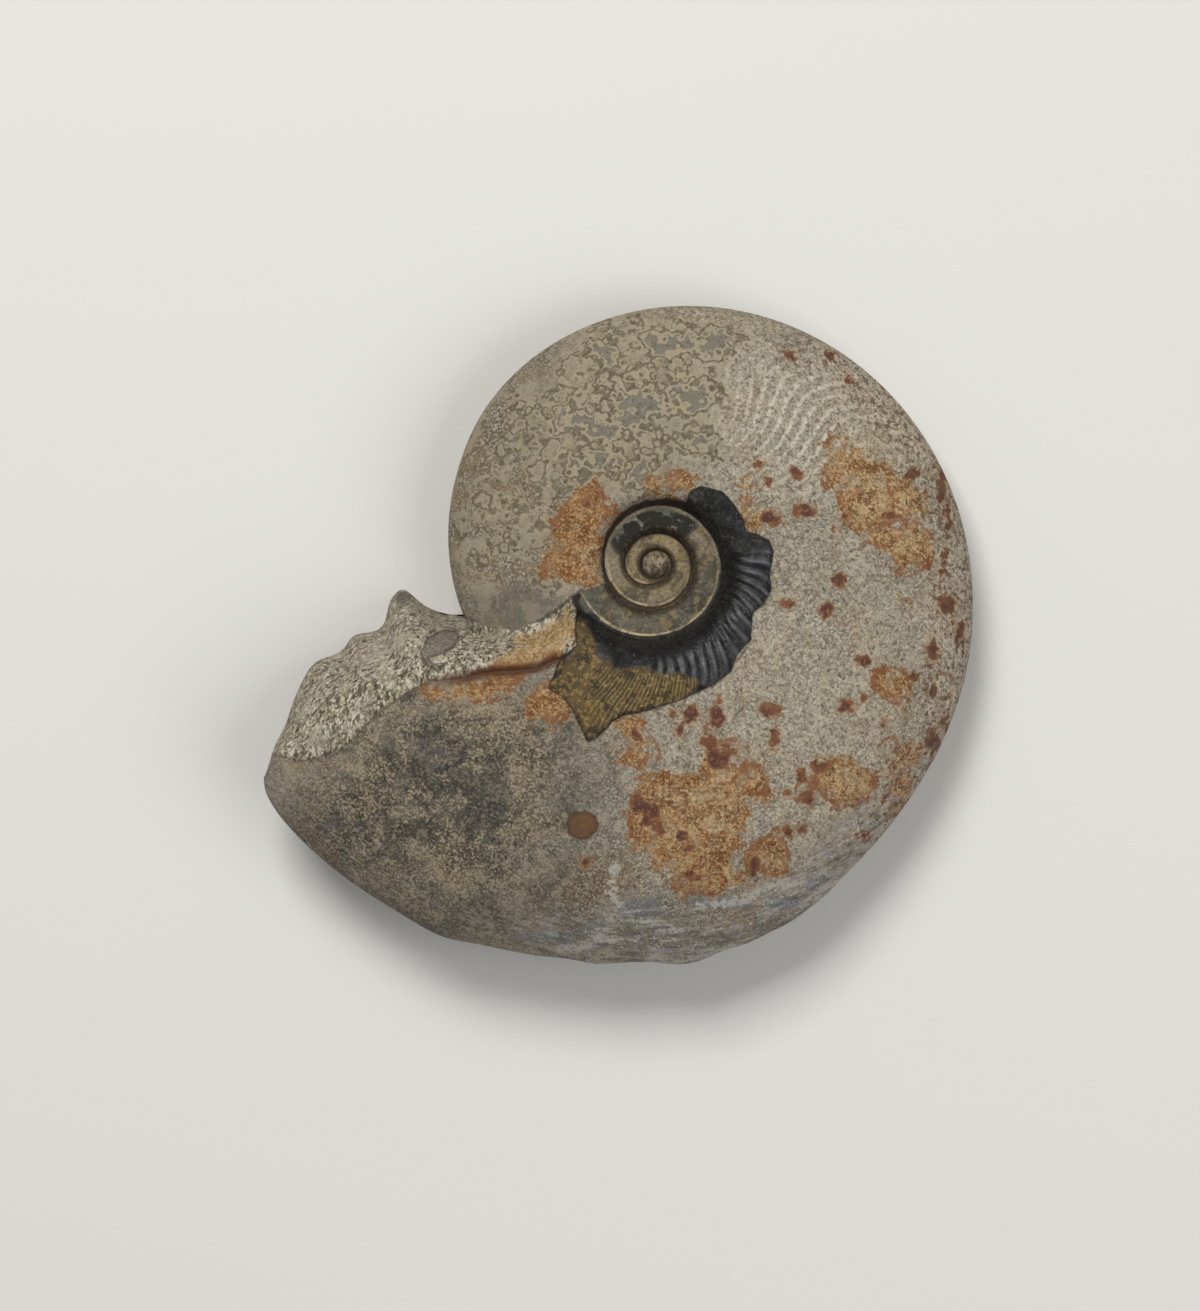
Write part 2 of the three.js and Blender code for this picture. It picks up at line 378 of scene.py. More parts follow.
# The stone's first block is the last length of whorl. The others go inwards from it, half a turn each.
LAST_LENGTH = 324
HALF_TURN = 180
INNER_LENGTHS = 6
stone = block("ammonite_stone", LAST_LENGTH, MOUTH_ANGLE, 290, last_heights, 40, mouth=True)
others = [block("whorl", LAST_LENGTH - HALF_TURN, LAST_LENGTH, 210, last_heights, 4)]
for n in range(INNER_LENGTHS):
    start = LAST_LENGTH - HALF_TURN * (n + 2)
    others.append(block("whorl", start, start + HALF_TURN, 72, inner_heights, 4))

# The earliest whorls are too small to tell apart, and show as one domed button in the middle of the coil.
ball = bmesh.new()
bmesh.ops.create_uvsphere(ball, u_segments=32, v_segments=20, radius=NUCLEUS_RADIUS)
bmesh.ops.translate(ball, verts=ball.verts, vec=(0, 0, middle(0, 0)))
others.append(placed("first chamber", ball))

# The whorls are joined into one stone.
for other in others:
    join = stone.modifiers.new("join", "BOOLEAN")
    join.operation = "UNION"
    join.solver = "MANIFOLD"
    join.object = other
dressed = stone.evaluated_get(bpy.context.evaluated_depsgraph_get())
whole = bmesh.new()
whole.from_mesh(dressed.data)
stone.modifiers.clear()
for other in others:
    bpy.data.objects.remove(other)


# Keeps the biggest connected body of a mesh. The union also leaves a few specks that are sealed inside it.
def drop_specks(bm):
    left = set(bm.verts)
    bodies = []
    while left:
        body = [left.pop()]
        for vert in body:
            near = [edge.other_vert(vert) for edge in vert.link_edges]
            fresh = [other for other in near if other in left]
            left.difference_update(fresh)
            body += fresh
        bodies.append(body)
    bodies.sort(key=len)
    bmesh.ops.delete(bm, geom=[vert for body in bodies[:-1] for vert in body], context="VERTS")


drop_specks(whole)
bmesh.ops.triangulate(whole, faces=[face for face in whole.faces if len(face.verts) > 4])

# Where each point of the stone is on the coil. The broken mouth lies more than a turn on, so what is less
# than its end's angle round belongs to the next turn.
MOUTH_END = 160
WHORLS_INSIDE = 7
x, y, z = np.array([vert.co[:] for vert in whole.verts]).T
turn = np.degrees(np.arctan2(-y, x)) % 360
radius = np.hypot(x, y)
last_angle = np.where(turn < MOUTH_END, turn + 360, turn)
angle = last_angle.copy()
for _ in range(WHORLS_INSIDE):
    angle = np.where(radius < seam_radius(angle), angle - 360, angle)
inner_gap = radius - seam_radius(angle)
outer_gap = seam_radius(angle + 360) - radius
height = inner_gap / (keel_radius(angle) - seam_radius(angle))
inner = angle < last_angle
whole.normal_update()
facing = np.array([vert.normal.z for vert in whole.verts])
warp = lumps(x, y, z, 5, 11)
warp_across = lumps(x, y, z, 5, 12)

# The markings, in the photograph's pixels. A stain is how brown it is and its outline, a blob is its middle
# and its half sizes across and down, and a ring is its middle and its radius.
MOUTH_OUTLINE = [
    (581, 591), (578, 612), (575, 632), (578, 645), (560, 660), *CREASE, (284, 723), (292, 695),
    (305, 670), (309, 663), (339, 651), (349, 636), (377, 625), (385, 611), (388, 598), (400, 589),
    (411, 593), (420, 605), (444, 614), (459, 614), (472, 620), (482, 626), (495, 629), (504, 628),
    (513, 633), (527, 627), (542, 620), (557, 609),
]
GOLD_OUTLINE = [
    (578, 612), (575, 632), (578, 645), (560, 660), (557, 668), (549, 688), (565, 697), (575, 712),
    (583, 730), (588, 741), (600, 733), (616, 717), (635, 712), (649, 709), (664, 704), (681, 699),
    (692, 694), (700, 682), (680, 674), (650, 671), (620, 671), (603, 662), (596, 650), (590, 636),
]
STAINS = [
    (1.0, [(560, 505), (572, 488), (596, 484), (607, 500), (620, 511), (608, 530), (606, 560), (600, 583),
           (570, 585), (545, 578), (543, 560), (556, 540)]),
    (0.25, [(824, 466), (830, 488), (838, 510), (853, 528), (872, 532), (895, 520), (922, 505), (926, 485),
            (905, 470), (880, 462), (850, 440), (832, 448)]),
    (0.35, [(868, 540), (880, 528), (900, 521), (925, 527), (938, 545), (925, 562), (905, 567),
            (885, 560)]),
    (0.6, [(638, 773), (627, 809), (627, 831), (648, 855), (665, 879), (680, 899), (716, 894), (743, 879),
           (726, 855), (745, 836), (750, 807), (768, 795), (765, 776), (750, 765), (733, 762), (722, 742),
           (706, 738), (700, 763), (665, 766)]),
    (0.8, [(528, 700), (540, 684), (562, 690), (570, 700), (562, 716), (548, 723), (532, 716)]),
    (0.3, [(742, 480), (750, 478), (750, 492), (757, 505), (772, 512), (768, 522), (752, 526), (745, 520),
           (738, 505)]),
    (0.1, [(648, 481), (668, 474), (692, 482), (690, 493), (668, 496), (652, 491)]),
    (0.4, [(612, 733), (622, 722), (640, 722), (648, 735), (640, 752), (636, 764), (620, 760), (616, 748)]),
    (0.5, [(818, 778), (828, 760), (846, 756), (862, 768), (866, 786), (856, 804), (836, 806), (820, 796)]),
    (0.7, [(874, 690), (880, 672), (897, 667), (910, 676), (908, 694), (895, 704), (880, 702)]),
    (0.5, [(880, 770), (900, 748), (918, 740), (916, 790), (900, 815), (886, 822)]),
    (0.5, [(744, 862), (752, 838), (772, 832), (786, 846), (784, 866), (768, 874)]),
    (0.6, [(425, 686), (470, 680), (500, 677), (520, 676), (510, 690), (470, 700), (440, 698)]),
]
INCLUSION = [(425, 650), (429, 639), (441, 632), (455, 631), (459, 637), (452, 648), (438, 655), (428, 656)]
INCLUSION_TAIL = [(425, 652), (428, 662), (440, 668)]
PALE_HEARTS = [
    (700, 800, 42, 44), (725, 775, 20, 16), (880, 496, 30, 22), (842, 787, 18, 18), (590, 558, 18, 14),
    (905, 545, 16, 12), (768, 855, 10, 10), (635, 742, 14, 12),
]
GOLD_STAIN = [
    (470, 674), (497, 655), (520, 640), (545, 630), (566, 618), (578, 622), (576, 642), (556, 656),
    (530, 668), (497, 672),
]
SPOTS = [
    (647, 811, 12, 13), (658, 824, 7, 6), (682, 833, 8, 6), (688, 848, 6, 4), (690, 881, 9, 6),
    (719, 801, 3, 3), (587, 857, 5, 5), (710, 736, 6, 8), (724, 752, 15, 11), (767, 711, 11, 9),
    (770, 739, 5, 9), (785, 792, 4, 3), (753, 862, 4, 14), (820, 769, 8, 7), (801, 778, 6, 8),
    (806, 799, 12, 8), (804, 826, 5, 4), (785, 831, 4, 5), (858, 657, 5, 4), (866, 661, 5, 5),
    (845, 704, 9, 7), (862, 697, 4, 4), (879, 724, 3, 3), (913, 676, 4, 4), (931, 655, 5, 12),
    (932, 694, 5, 5), (932, 741, 9, 12), (947, 724, 4, 10), (909, 775, 4, 4), (864, 838, 8, 4),
    (838, 581, 7, 6), (824, 610, 8, 8), (903, 601, 4, 3), (773, 519, 10, 6), (806, 512, 11, 9),
    (757, 467, 6, 5), (795, 475, 5, 6), (768, 484, 3, 3), (834, 529, 3, 3), (941, 566, 3, 10),
    (951, 608, 9, 10), (792, 356, 5, 5), (827, 356, 5, 5), (849, 379, 4, 4), (716, 714, 7, 11),
    (692, 712, 8, 8), (961, 632, 5, 13), (912, 470, 9, 5), (888, 515, 8, 4), (678, 727, 5, 7),
    (672, 716, 5, 5), (636, 736, 4, 8), (944, 480, 5, 20), (950, 515, 4, 14), (785, 602, 5, 4),
    (635, 800, 9, 9), (588, 504, 8, 5),
]
RINGS = [
    (755, 780, 16), (770, 852, 18), (842, 784, 23), (892, 686, 19), (886, 742, 9), (951, 608, 9),
    (824, 610, 8), (642, 818, 17), (729, 758, 22), (905, 546, 28), (640, 745, 16), (806, 799, 12),
    (716, 714, 9), (938, 690, 12),
]
LOBES = [
    (633, 351, 18), (614, 345, 13), (576, 373, 16), (590, 358, 8), (561, 396, 9), (518, 424, 11),
    (513, 409, 7), (606, 409, 10), (598, 398, 6), (555, 449, 13), (568, 440, 6), (599, 443, 8),
    (612, 463, 8), (622, 443, 9), (656, 399, 13), (641, 393, 8), (650, 438, 10), (654, 453, 11),
    (694, 438, 12), (672, 363, 9), (660, 372, 8), (708, 382, 8), (537, 472, 9), (500, 455, 9),
    (484, 500, 9), (519, 505, 8), (500, 545, 9), (541, 524, 7), (480, 560, 8), (546, 585, 8),
    (560, 620, 7), (527, 440, 7), (546, 410, 6), (640, 318, 8), (600, 325, 9),
]
SLATES = [
    (677, 344, 24, 12), (711, 346, 21, 13), (640, 402, 22, 12), (684, 397, 24, 14), (641, 466, 9, 14),
    (603, 432, 22, 14), (600, 460, 26, 12), (604, 352, 12, 10), (630, 424, 12, 9), (700, 441, 13, 11),
    (646, 440, 10, 8), (575, 420, 12, 8), (640, 484, 10, 7),
]
CRUST_LINES = [
    [(616, 862), (611, 878), (612, 892), (619, 904), (634, 918), (648, 921), (663, 927), (678, 928)],
    [(700, 903), (743, 900), (770, 886), (801, 878)],
    [(560, 950), (585, 944), (600, 936), (612, 940)],
    [(650, 958), (675, 963), (700, 955), (735, 946)],
    [(800, 905), (825, 893), (838, 882)],
]
BLUE_PATCHES = [
    (648, 907, 18, 11), (712, 904, 30, 8), (776, 903, 22, 9), (815, 880, 16, 8), (590, 925, 16, 7),
    (545, 935, 26, 7),
]
DARK_BLOB = (582, 821, 15, 14)
GREY_CORNER = (590, 606, 13, 14)
DARK_TIP = (400, 592, 11, 12)
BUTTON_RING = (655.5, 571)


OUTSIDE = -9.0


# Signed millimetres inside the nearest of a list of blobs. The lumps make their outlines uneven.
def inside_blobs(x, y, blobs, uneven, where=True):
    deepest = np.full_like(x, OUTSIDE)
    for px, py, *sizes in blobs:
        across, along = sizes[0] * PHOTO_SCALE, sizes[-1] * PHOTO_SCALE
        cx, cy = photo_mm(px, py)
        shift_x, shift_y = x - cx + uneven * across * warp, y - cy + uneven * along * warp_across
        far = np.hypot(shift_x / across, shift_y / along)
        deepest = np.maximum(deepest, (1 - far) * min(across, along))
    return np.where(where, deepest, OUTSIDE)


# The lower flank isn't seen in the photograph. It gets the upper one's stains, turned round the coil.
LOWER_TURN = np.radians(140)
upper = facing > 0
seen = upper & ~inner
flip_x = np.where(upper, x, x * np.cos(LOWER_TURN) - y * np.sin(LOWER_TURN))
flip_y = np.where(upper, y, x * np.sin(LOWER_TURN) + y * np.cos(LOWER_TURN))
uneven_x, uneven_y = flip_x + 0.5 * warp, flip_y + 0.5 * warp_across
each_stain = np.array([within(uneven_x, uneven_y, outline) for depth, outline in STAINS])
stain_depth = np.array([depth for depth, outline in STAINS])[each_stain.argmax(axis=0)]
rings = np.full_like(x, -OUTSIDE)
for px, py, size in RINGS:
    cx, cy = photo_mm(px, py)
    ring = np.hypot(uneven_x - cx, uneven_y - cy) - size * PHOTO_SCALE
    rings = np.where(np.abs(ring) < np.abs(rings), ring, rings)

# The sutures show on a smooth stretch of the last whorl, and another lies at its base: the middle of each
# in millimetres, its half sizes and its sharpness.
SMOOTH_STRETCH = (-4, 17, 11, 11, 4)
SMOOTH_BASE = (-15, -5, 6, 3.4, 4)
smooth = oval(x, y, *SMOOTH_STRETCH) * (turn > 180)


def sutures(blobs, uneven, between):
    drawn = np.maximum(inside_blobs(x, y, blobs, uneven), between - 6 * (1 - smooth))
    return np.where(inner | (height < 0.05), OUTSIDE, drawn)


# How far the umbilical wall reaches from the seam: coiling angle, and millimetres.
WALL_REACH = [
    (160, 0.75), (200, 0.7), (230, 0.95), (290, 1.2), (330, 1.9), (360, 2.2), (420, 2.9), (450, 3.0),
    (490, 2.7), (505, 1.9), (520, 1.2),
]
# Millimetres inside the umbilical wall, whose dark brown is partly stain and partly painted shade.
wall = np.where(inner, OUTSIDE, curve(WALL_REACH, angle) - inner_gap)
across_ring = np.clip(inner_gap / np.maximum(inner_gap + outer_gap, 0.1), 0, 1)


# The cast's colour from place to place: middle, half size across and down, and the colour there.
ZONES = [
    (500, 480, 60, 110, "6c614a"), (520, 606, 60, 22, "5f5c53"), (600, 420, 80, 60, "716957"),
    (690, 318, 150, 16, "897d66"), (790, 420, 60, 50, "a59b86"), (880, 440, 50, 50, "a0927a"),
    (860, 600, 60, 60, "8f8673"), (945, 660, 22, 130, "a89a85"), (850, 740, 80, 80, "9c907b"),
    (700, 930, 150, 26, "70685b"), (645, 905, 26, 12, "66665f"), (840, 880, 70, 30, "8b8375"),
    (590, 760, 60, 50, "857c6c"), (470, 790, 80, 66, "3f3930"), (540, 750, 50, 40, "564e41"),
    (370, 810, 60, 50, "4c453a"), (335, 850, 70, 34, "3c3731"), (325, 748, 46, 18, "82755f"),
    (470, 910, 100, 26, "534c42"), (590, 885, 36, 26, "5f4c30"), (430, 712, 70, 16, "7d715f"),
    (545, 735, 30, 20, "6f685a"), (730, 640, 60, 60, "9a8f7b"), (600, 700, 30, 30, "847a68"),
]
REST_OF_CAST = "8f8573"


def linear(colour):
    parts = [int(colour[i : i + 2], 16) / 255 for i in (0, 2, 4)]
    return (*[c / 12.92 if c <= 0.04045 else ((c + 0.055) / 1.055) ** 2.4 for c in parts], 1)


ground = np.outer(np.full_like(x, 0.25), linear(REST_OF_CAST))
weight = np.full_like(x, 0.25)
for px, py, across, along, colour in ZONES:
    cx, cy = photo_mm(px, py)
    far = np.hypot((x - cx) / (across * PHOTO_SCALE), (y - cy) / (along * PHOTO_SCALE))
    here = np.exp(-((far * (1 + 0.2 * warp)) ** 2) * 1.2)
    ground += np.outer(here, linear(colour))
    weight += here
ground /= weight[:, None]


# Turns the ground towards a colour where the amount is 1.
def tint(amount, colour):
    ground[:] = ground + amount[:, None] * (np.array(linear(colour)) - ground)


# The inner whorls: brown towards the middle, darker on the outermost, with cream lips along their seams.
bulb = step_up(radius, 1.6, 1.8)
tint(1.0 * inner, "7f745e")
tint(inner * step_up(angle, -60, 40) * 0.75, "544f41")
tint(inner * step_up(angle, 0, 60) * step_up(warp, 0.1, 0.5) * 0.6, "38362d")
tint(inner * (1 - step_up(radius, 3.4, 4.2)) * 0.7, "8a7753")
tint(inner * (1 - bulb), "80735f")
lip = np.where(inner_gap < 0.4, -inner_gap, outer_gap)
lip_strength = np.clip(0.35 + 0.65 * np.cos(np.radians(turn - 100)), 0.15, 1)
lip_strength *= 1 - step_up(np.minimum(np.abs(inner_gap), outer_gap), 0.3, 0.7)
lip_strength *= (radius > 2.2) * (radius < 9)

# What the limestone's material reads at each point. A place goes from 0 to 1, and an outline or a line is
# the distance from it in millimetres.
CRACK_START = (-23.5, -22)
CRACK_END = -6.5
CREASE_RUST = (-28, -20)
CHAMBER = (-24, -25, 17, 16, 4)
RIBBED = (16, 16, 9, 8, 2)
LEFT_FLANK = (-17, 8, 10, 14, 4)
mouth = np.where(seen, within(x, y, MOUTH_OUTLINE), OUTSIDE)
low_rim = step_up(height + 0.02 * warp, 0.8, 0.9) * step_up(angle, 380, 420)
mottles = step_up(height + 0.03 * warp, 0.74, 0.9) * plateau(angle, 292, 308, 400, 425)
# Where the shell's painted glints and painted shade between pleats go: the pleat wave, kept off the
# umbilical wall.
pleats = pleat_wave(x, y, z, angle, height) * (1 - step_up(inner_gap, 5, 8)) * step_up(-wall, 0, 1.2)
inclusion = np.maximum(within(x, y, INCLUSION), 0.2 - beside(x, y, INCLUSION_TAIL))
crust_line = np.min([beside(x, y, line) for line in CRUST_LINES], axis=0)
marks = {
    "mouth": mouth,
    "shell": np.where(seen & (angle > SHELL_START), within(x, y, SHELL_OUTLINE), OUTSIDE),
    "gold": np.where(seen, within(x, y, GOLD_OUTLINE), OUTSIDE),
    "stain": np.where(inner, OUTSIDE, each_stain.max(axis=0)),
    "stain depth": stain_depth,
    "pale heart": inside_blobs(flip_x, flip_y, PALE_HEARTS, 0.3),
    "spots": inside_blobs(flip_x, flip_y, SPOTS, 0.35, ~inner),
    "rings": rings,
    "lobes": sutures(LOBES, 0.2, -0.9),
    "slates": sutures(SLATES, 0.15, -0.6),
    "wall": wall,
    "lip": lip,
    "lip strength": lip_strength,
    "ring wall": inner * bulb * (1 - step_up(across_ring, 0.2, 0.42)),
    "rings of whorls": 1.0 * inner,
    "black ring": inner * (angle > -185) * plateau(turn + 12 * warp, 190, 212, 322, 350),
    "gold stain": np.where(upper, within(x + 0.6 * warp, y + 0.5 * warp_across, GOLD_STAIN), OUTSIDE),
    "inclusion": np.where(mouth > 0, inclusion, OUTSIDE),
    "blob": inside_blobs(x, y, [DARK_BLOB], 0.12, upper),
    "grey corner": inside_blobs(x, y, [GREY_CORNER], 0.3, upper),
    "dark tip": inside_blobs(x, y, [DARK_TIP], 0.1, mouth > -1),
    "crease": np.where(seen, beside(x, y, CREASE), -OUTSIDE),
    "crease rust": step_up(x, *CREASE_RUST),
    "crack": step_up(x, *CRACK_START) * (y > CRACK_END),
    "chamber": np.where(upper, oval(x, y, *CHAMBER) * step_up(height, 0.1, 0.2), 0.3),
    "flank angle": np.where(inner, 0, angle - curve(RIB_SWEEP, height)),
    "ribs": np.where(upper, oval(x, y, *RIBBED), 0.3) * ~inner,
    "left flank": oval(x, y, *LEFT_FLANK) * ~inner,
    "smooth": np.maximum(smooth, oval(x, y, *SMOOTH_BASE)) * ~inner,
    "crust": np.where(seen, crust_line, -OUTSIDE),
    "blue": inside_blobs(x, y, BLUE_PATCHES, 0.3, ~inner),
    "low rim": low_rim * (1 - 0.75 * step_up(angle, 455, 475)),
    "mottles": mottles,
    "striated": step_up(x, -9, -5) * step_up(height, 0.1, 0.14),
    "pleats": pleats,
    "rough shell": 1 - step_up(angle, 345, 356),
}

# The stone is moved from the coil's axis to the part's frame and takes its marks along.
SHARP_EDGE = 0.79
coil_place = np.column_stack([np.radians(angle) * KEEL_RADIUS, radius, 0 * x])
bmesh.ops.translate(whole, verts=whole.verts, vec=(*COIL_AXIS, 0))
bmesh.ops.scale(whole, verts=whole.verts, vec=(MM, MM, MM))
for face in whole.faces:
    face.smooth = True
for edge in whole.edges:
    edge.smooth = edge.calc_face_angle(0) < SHARP_EDGE
whole.to_mesh(stone.data)
whole.free()
for name, values in marks.items():
    stone.data.attributes.new(name, "FLOAT", "POINT").data.foreach_set("value", values.astype(np.float32))
colours = stone.data.attributes.new("ground", "FLOAT_COLOR", "POINT")
colours.data.foreach_set("color", ground.astype(np.float32).ravel())
flow = stone.data.attributes.new("coil place", "FLOAT_VECTOR", "POINT")
flow.data.foreach_set("vector", coil_place.astype(np.float32).ravel())


# Adds a node to the limestone's material, with what feeds its inputs in order and its settings, and returns
# one of its outputs.
def node(kind, *feeds, out=0, **settings):
    made = tree.nodes.new("ShaderNode" + kind)
    for name, value in settings.items():
        setattr(made, name, value)
    for socket, value in zip(made.inputs, feeds):
        if isinstance(value, bpy.types.NodeSocket):
            tree.links.new(value, socket)
        elif value is not None:
            socket.default_value = value
    return made.outputs[out]


# Goes from least to most as a field goes from low to high, inside a place.
def fade(field, low, high, least=0, most=1, where=1.0):
    amount = node("MapRange", field, low, high, least, most, interpolation_type="SMOOTHSTEP")
    return node("Math", amount, where, operation="MULTIPLY")


# A coat of colour. It comes in as a field goes from low to high, at most to its strength, inside a place.
def coat(under, field, low, high, strength, colour, where=1.0):
    return node("MixRGB", fade(field, low, high, 0, strength, where), under, linear(colour))


# Coats in one place, one over the other. Each follows a noise, and one from -1 to -0.5 covers the place.
def coats(under, where, *layers):
    for name, low, high, strength, colour in layers:
        under = coat(under, noise[name], low, high, strength, colour, where)
    return under


# A mark with its outline made ragged by a noise, and by how many millimetres.
def ragged(name, by, kind):
    return node("Math", noise[kind], by, mark[name], operation="MULTIPLY_ADD")


# How far a field is from a level, whichever side.
def off_level(field, level):
    above = node("Math", field, -level, operation="ADD")
    return node("Math", above, operation="ABSOLUTE")


# Fossil limestone: fine grains of lime with darker clay between them, so it is matt and speckled, and iron
# in it has rusted to ochre and maroon. The black shell on it is calcite, smoother, with soft glints.
limestone = bpy.data.materials.new("fossil limestone")
limestone.use_nodes = True
tree = limestone.node_tree
stone_shader = tree.nodes["Principled BSDF"]
place = node("TexCoord", out="Object")
place = node("Mapping", place, None, None, (1 / MM, 1 / MM, 1 / MM))
mark = {name: node("Attribute", out="Fac", attribute_name=name) for name in marks}
colour = node("Attribute", attribute_name="ground")
# Each noise: its size in millimetres, octaves, roughness and how much it is swirled. Salt and pepper are
# single grains, and streaks run along the coil.
NOISES = {
    "grain": (0.28, 2, 0.6, 0), "speck": (0.5, 3, 0.7, 0), "blotch": (1.3, 4, 0.6, 0),
    "patch": (3.2, 5, 0.6, 0.5), "cloud": (8, 3, 0.6, 0), "rust": (0.7, 5, 0.65, 0),
    "rust patch": (2.6, 4, 0.6, 0.3), "marble": (1.6, 3, 0.6, 1.8),
}
noise = {
    name: node("TexNoise", place, None, 1 / size, octaves, roughness, None, None, None, swirl)
    for name, (size, octaves, roughness, swirl) in NOISES.items()
}
SALT = 0.21
STREAK = (1.8, 0.6, 1)
noise["salt"] = node("SeparateColor", node("TexVoronoi", place, None, 1 / SALT, out="Color"))
noise["pepper"] = noise["salt"].node.outputs[1]
streak = node("Attribute", out="Vector", attribute_name="coil place")
streak = node("Mapping", streak, None, None, tuple(1 / size for size in STREAK))
noise["streak"] = node("TexNoise", streak, None, 1, 4, 0.65)

# The ground: lighter and darker grains, patches and specks, fainter where the stone is smooth.
calm = node("Math", mark["smooth"], mark["low rim"], operation="MAXIMUM")
calm = node("Math", calm, mark["ring wall"], operation="MAXIMUM")
calm = node("Math", mark["rings of whorls"], 0.75, calm, operation="MULTIPLY_ADD")
calm = node("Math", mark["chamber"], 0.8, calm, operation="MULTIPLY_ADD")
calm = node("Math", calm, 1.0, operation="MINIMUM")
less_grain = node("Math", calm, 0.6, operation="MULTIPLY")
for name, low, high, dark, pale in (
    ("grain", 0.3, 0.7, 0.74, 1.24), ("speck", 0.35, 0.65, 1.14, 0.84), ("blotch", 0.3, 0.7, 0.82, 1.17),
):
    shade = node("Mix", less_grain, None, fade(noise[name], low, high, dark, pale), 1.0)
    colour = node("VectorMath", colour, None, None, shade, operation="SCALE")
for name, dark, pale in (("patch", 0.82, 1.16), ("cloud", 0.93, 1.07)):
    shade = fade(noise[name], 0.3, 0.7, dark, pale)
    colour = node("VectorMath", colour, None, None, shade, operation="SCALE")
rough = node("Math", calm, -0.85, 1.0, operation="MULTIPLY_ADD")
dark_patch = fade(noise["patch"], 0.35, 0.6, 0.35, 1, rough)
pale_patch = fade(noise["patch"], 0.35, 0.62, 1, 0.3, rough)
colour = coat(colour, noise["cloud"], 0.5, 0.7, 0.35, "8a7048")
colour = coats(colour, rough, ("rust patch", 0.52, 0.6, 0.4, "786a54"))
colour = coats(colour, rough, ("patch", 0.54, 0.62, 0.45, "b0a894"))
colour = coats(colour, dark_patch, ("speck", 0.55, 0.63, 0.7, "463c2f"))
colour = coats(colour, pale_patch, ("salt", 0.6, 0.66, 0.42, "d2cab8"))
colour = coats(colour, dark_patch, ("pepper", 0.66, 0.72, 0.42, "51483a"))

# The left flank: smooth pale patches with pitted, worm-like edges, on browner stone.
colour = coats(
    colour, mark["left flank"],
    ("cloud", 0.46, 0.56, 0.4, "7d6b4e"), ("blotch", 0.5, 0.62, 0.5, "65563d"),
    ("patch", 0.52, 0.56, 0.65, "958a74"),
)
pitted = fade(off_level(noise["patch"], 0.53), 0.03, 0.005, 0, 1, mark["left flank"])
colour = coats(colour, pitted, ("rust", 0.5, 0.58, 0.8, "4e4432"), ("rust", 0.5, 0.42, 0.5, "a99d82"))

# The dark body chamber, with cream grains in drifts.
colour = coats(
    colour, mark["chamber"],
    ("blotch", 0.36, 0.62, 0.5, "35312a"), ("rust patch", 0.48, 0.6, 0.6, "39362f"),
    ("patch", 0.5, 0.62, 0.4, "756850"), ("cloud", 0.5, 0.38, 0.35, "474745"),
)
drift = node("Math", noise["cloud"], 0.6, noise["patch"], operation="MULTIPLY_ADD")
drift = fade(drift, 0.72, 0.84, 0.25, 1, mark["chamber"])
dark_drift = fade(noise["rust patch"], 0.42, 0.55, 0.1, 1, mark["chamber"])
colour = coats(colour, drift, ("salt", 0.57, 0.64, 0.7, "a1947a"), ("grain", 0.52, 0.62, 0.5, "96886d"))
colour = coats(colour, dark_drift, ("pepper", 0.62, 0.7, 0.7, "2a2721"))

# Ribs, as pale lines of grains.
rib = node("Math", noise["rust"], 1.6, operation="MULTIPLY")
rib = node("Math", noise["patch"], 3.2, rib, operation="MULTIPLY_ADD")
rib = node("Math", mark["flank angle"], 1.75, rib, operation="MULTIPLY_ADD")
rib = node("Math", rib, operation="SINE")
broken = fade(noise["speck"], 0.62, 0.42, 0.1, 1, mark["ribs"])
colour = coat(colour, rib, 0.2, 0.95, 0.72, "cfc7b4", broken)
colour = coat(colour, rib, -0.3, -0.9, 0.35, "857b69", broken)

# Sutures: the frilled edges of the chamber walls, with blue-grey fillings, cream rims and dark outlines.
frill = 0.0
for size, depth in ((1.15, -2.0), (0.55, -0.9)):
    cells = node("TexVoronoi", place, None, 1 / size, None, None, None, 0.25, feature="SMOOTH_F1")
    frill = node("Math", cells, depth, frill, operation="MULTIPLY_ADD")
frill = node("Math", noise["patch"], 3.6, frill, operation="MULTIPLY_ADD")
FRILL_MIDDLE = -0.62
mottle = fade(noise["speck"], 0.4, 0.6, 0.6, 1)
for name, rim, filling, shade, cover in (
    ("lobes", "9a8f76", "8b816d", "6c624d", 0.7), ("slates", "a0947a", "736e61", "5b564a", 0.9),
):
    edge = node("Math", mark[name], frill, operation="ADD")
    edge = node("Math", edge, FRILL_MIDDLE, operation="ADD")
    colour = coat(colour, edge, -1.15, -0.95, 0.65, rim, mottle)
    colour = coat(colour, edge, -0.6, -0.35, 0.8, "4c4131", mottle)
    colour = coat(colour, edge, 0.1, 0.3, 0.85, rim)
    colour = coat(colour, edge, 0.65, 0.9, cover, filling)
    inside = fade(edge, 0.65, 0.9)
    colour = coats(colour, inside, ("blotch", 0.5, 0.6, 0.6, shade), ("speck", 0.56, 0.62, 0.5, "4b4437"))
    frill = node("Math", frill, -1.0, -2 * FRILL_MIDDLE, operation="MULTIPLY_ADD")

# Thin swirling lines, cream and dark.
line = off_level(noise["marble"], 0.5)
half_rough = node("Math", rough, 0.5, operation="MULTIPLY")
swirls = node("Math", mark["smooth"], mark["left flank"], operation="MAXIMUM")
swirls = node("Math", swirls, half_rough, operation="MAXIMUM")
swirls = fade(noise["cloud"], 0.42, 0.55, 0.2, 1, swirls)
for low, high, near, on, strength, tone in (
    (0.46, 0.54, 0.02, 0.006, 0.5, "ac9f84"), (0.5, 0.42, 0.016, 0.005, 0.75, "4d4333"),
):
    stretch = fade(noise["blotch"], low, high, 0, 1, swirls)
    colour = coat(colour, line, near, on, strength, tone, stretch)

